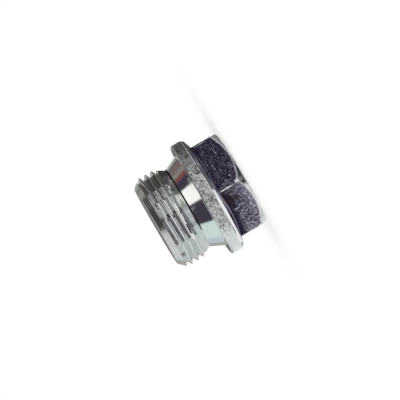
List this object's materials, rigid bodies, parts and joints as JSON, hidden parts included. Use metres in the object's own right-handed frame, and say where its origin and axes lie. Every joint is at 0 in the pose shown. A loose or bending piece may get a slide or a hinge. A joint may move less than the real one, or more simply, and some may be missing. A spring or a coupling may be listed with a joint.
{
  "type": "oil drain plug",
  "caption": "Hexagon-head oil drain plug with a bevelled collar, a relief groove and a fine-threaded shank with a chamfered end.",
  "frame": {"origin": "centre of the top face of the head, on which the plug stands", "axes": "+Z along the plug from the head to the end of the shank, +X square to a pair of flats"},
  "size_m": [0.027, 0.027, 0.0214],
  "materials": {
    "zinc_plated_steel": "bright zinc plate with a faint violet and teal sheen, scuffed on the flats"
  },
  "bodies": {
    "root": {"drain_plug": "zinc_plated_steel"}
  },
  "joints": []
}
